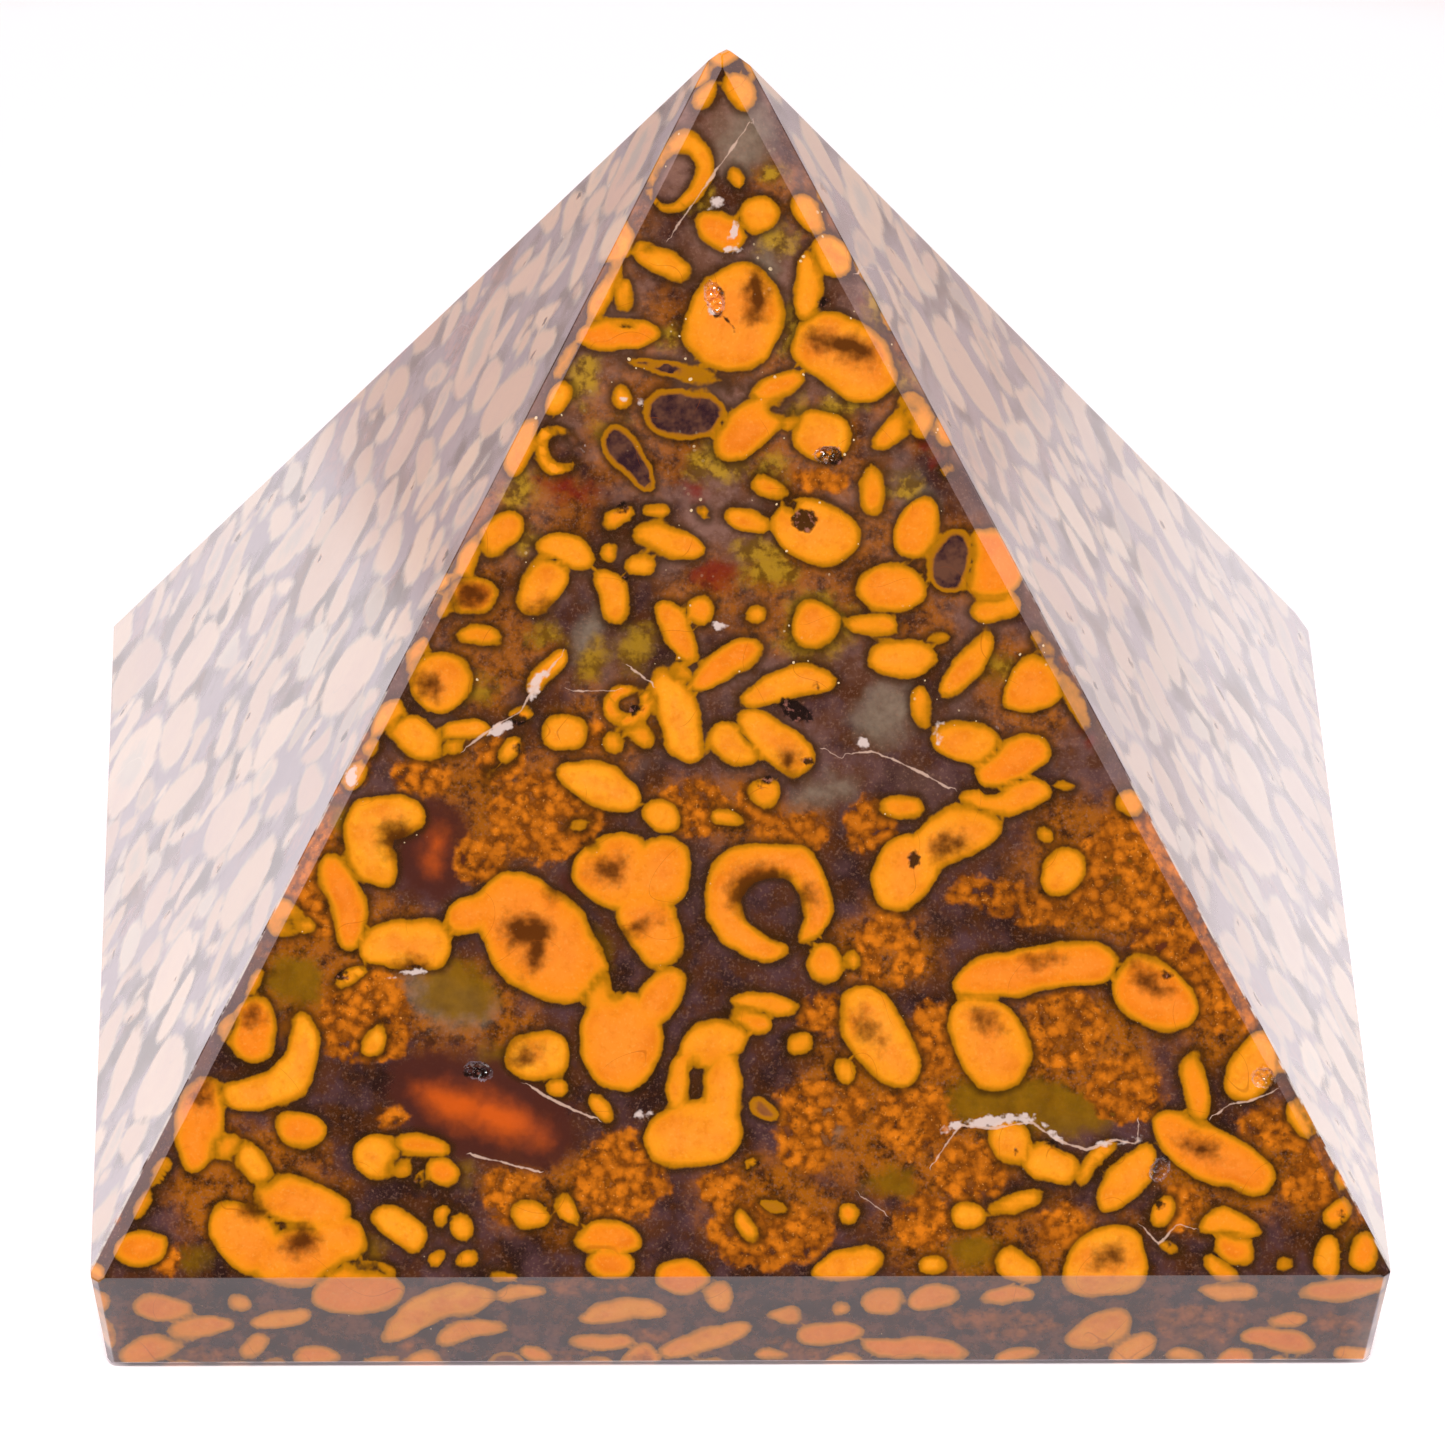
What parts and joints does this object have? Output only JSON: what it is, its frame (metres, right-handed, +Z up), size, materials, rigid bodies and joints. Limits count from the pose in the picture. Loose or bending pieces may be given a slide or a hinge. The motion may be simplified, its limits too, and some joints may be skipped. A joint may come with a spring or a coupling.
{
  "type": "jasper pyramid",
  "caption": "Polished square pyramid of brecciated orange and brown jasper on a low undercut band, an ornament that rests on its flat underside.",
  "frame": {"origin": "middle of the flat underside", "axes": "+Z up through the pyramid, -Y towards the face shown in the picture, +X to that face's right"},
  "size_m": [0.06, 0.06, 0.0534],
  "materials": {
    "jasper": "polished"
  },
  "bodies": {
    "root": {"jasper_pyramid": "jasper"}
  },
  "joints": []
}
